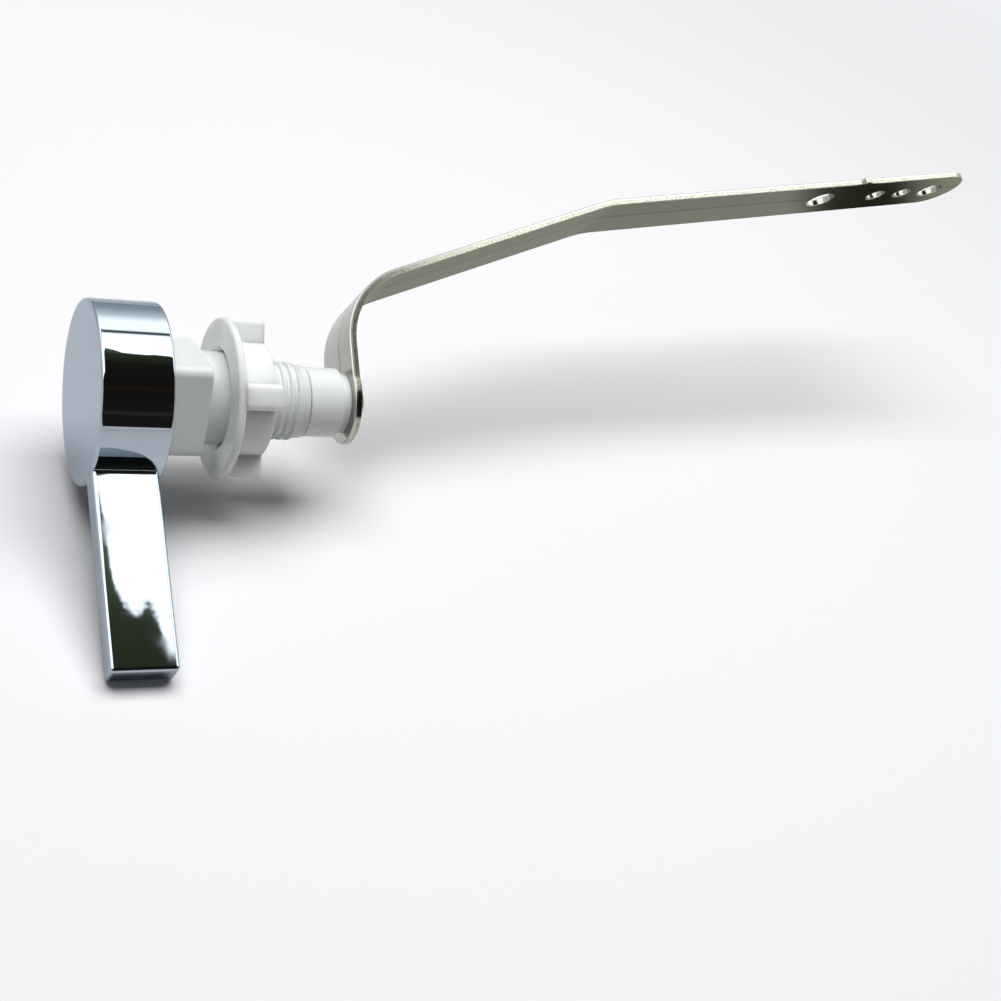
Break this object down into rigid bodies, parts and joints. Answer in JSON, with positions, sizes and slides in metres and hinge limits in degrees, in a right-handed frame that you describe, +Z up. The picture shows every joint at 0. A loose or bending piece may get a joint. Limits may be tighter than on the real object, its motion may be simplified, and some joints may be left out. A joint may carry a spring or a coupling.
{
  "type": "cistern lever",
  "caption": "Front-mount cistern flush lever: hollow drum handle with a flat bar, plastic bush with square shank and clamp nut, spindle and a bent strip arm with chain holes.",
  "frame": {"origin": "on the spindle's axis, at the plane where the bush's flange seats on the outside of the cistern's wall", "axes": "+X along the spindle's axis into the cistern, +Z up with the square shank upright, and the handle on the -Y side"},
  "size_m": [0.2167, 0.0897, 0.0881],
  "materials": {
    "handle_chrome": "bright chrome plate on a zinc casting",
    "spindle_plastic": "glossy white moulding",
    "bush_plastic": "glossy white moulding",
    "nut_plastic": "glossy white moulding",
    "arm_steel": "mill-finish stainless strip with sheared edges",
    "fastener_steel": "bright stainless"
  },
  "bodies": {
    "bush": {"bush": "bush_plastic"},
    "lever": {"handle": "handle_chrome", "spindle": "spindle_plastic", "arm": "arm_steel", "arm_washer": "fastener_steel", "arm_screw": "fastener_steel"},
    "nut": {"nut": "nut_plastic"}
  },
  "joints": [
    {"name": "lever_turn", "type": "hinge", "parent": "bush", "child": "lever", "pos_m": [0, 0, 0], "axis": [1, 0, 0], "range_deg": [-39.1, 0]},
    {"name": "nut_turn", "type": "hinge", "parent": "bush", "child": "nut", "pos_m": [0.015, 0, 0], "axis": [1, 0, 0], "continuous": true}
  ]
}
